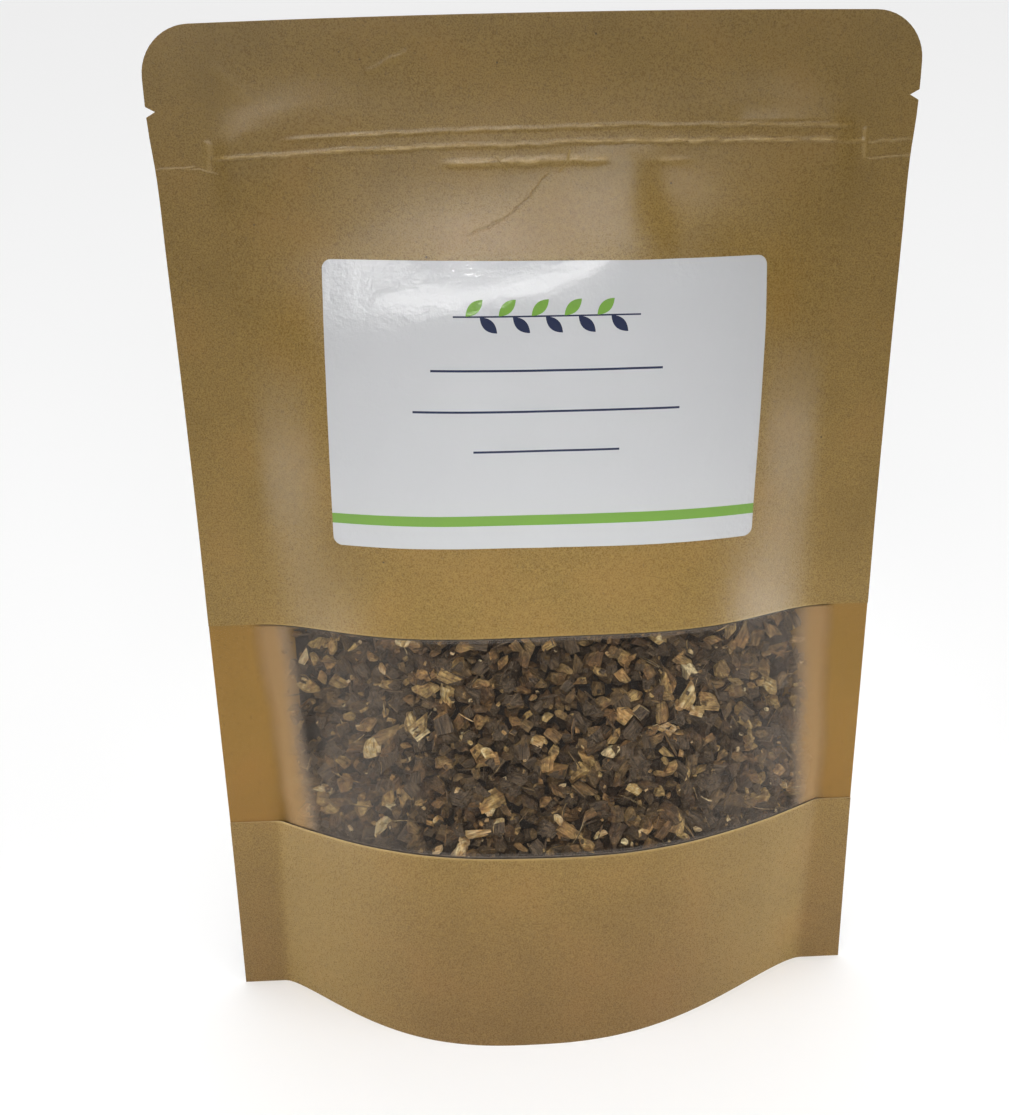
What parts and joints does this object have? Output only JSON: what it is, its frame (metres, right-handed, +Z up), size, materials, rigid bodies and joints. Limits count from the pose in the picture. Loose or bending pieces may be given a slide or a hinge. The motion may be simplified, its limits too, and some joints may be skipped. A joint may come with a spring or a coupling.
{
  "type": "filled stand-up pouch of cut root",
  "caption": "Kraft-paper stand-up pouch with a clear window, folded bottom gusset, closed zipper and plain label, filled with dried cut burdock root.",
  "frame": {"origin": "on the ground under the middle of the pouch", "axes": "+Z up along the pouch's height, +X to the right as seen from the front, the front with window and label faces -Y"},
  "size_m": [0.16, 0.0586, 0.235],
  "materials": {
    "kraft": "semi-gloss kraft paper laminate",
    "film": "clear gloss film with a faint haze",
    "zipper": "milky translucent polyethylene",
    "label": "white semi-gloss label paper",
    "root": "dried root chips, dark bark and pale cut faces"
  },
  "bodies": {
    "root": {"pouch_front_upper": "kraft", "pouch_front_lower": "kraft", "pouch_back": "kraft", "bottom_gusset": "kraft", "window_film": "film", "zipper_rib": "zipper", "zipper_groove": "zipper", "label": "label", "cut_root": "root"}
  },
  "joints": []
}
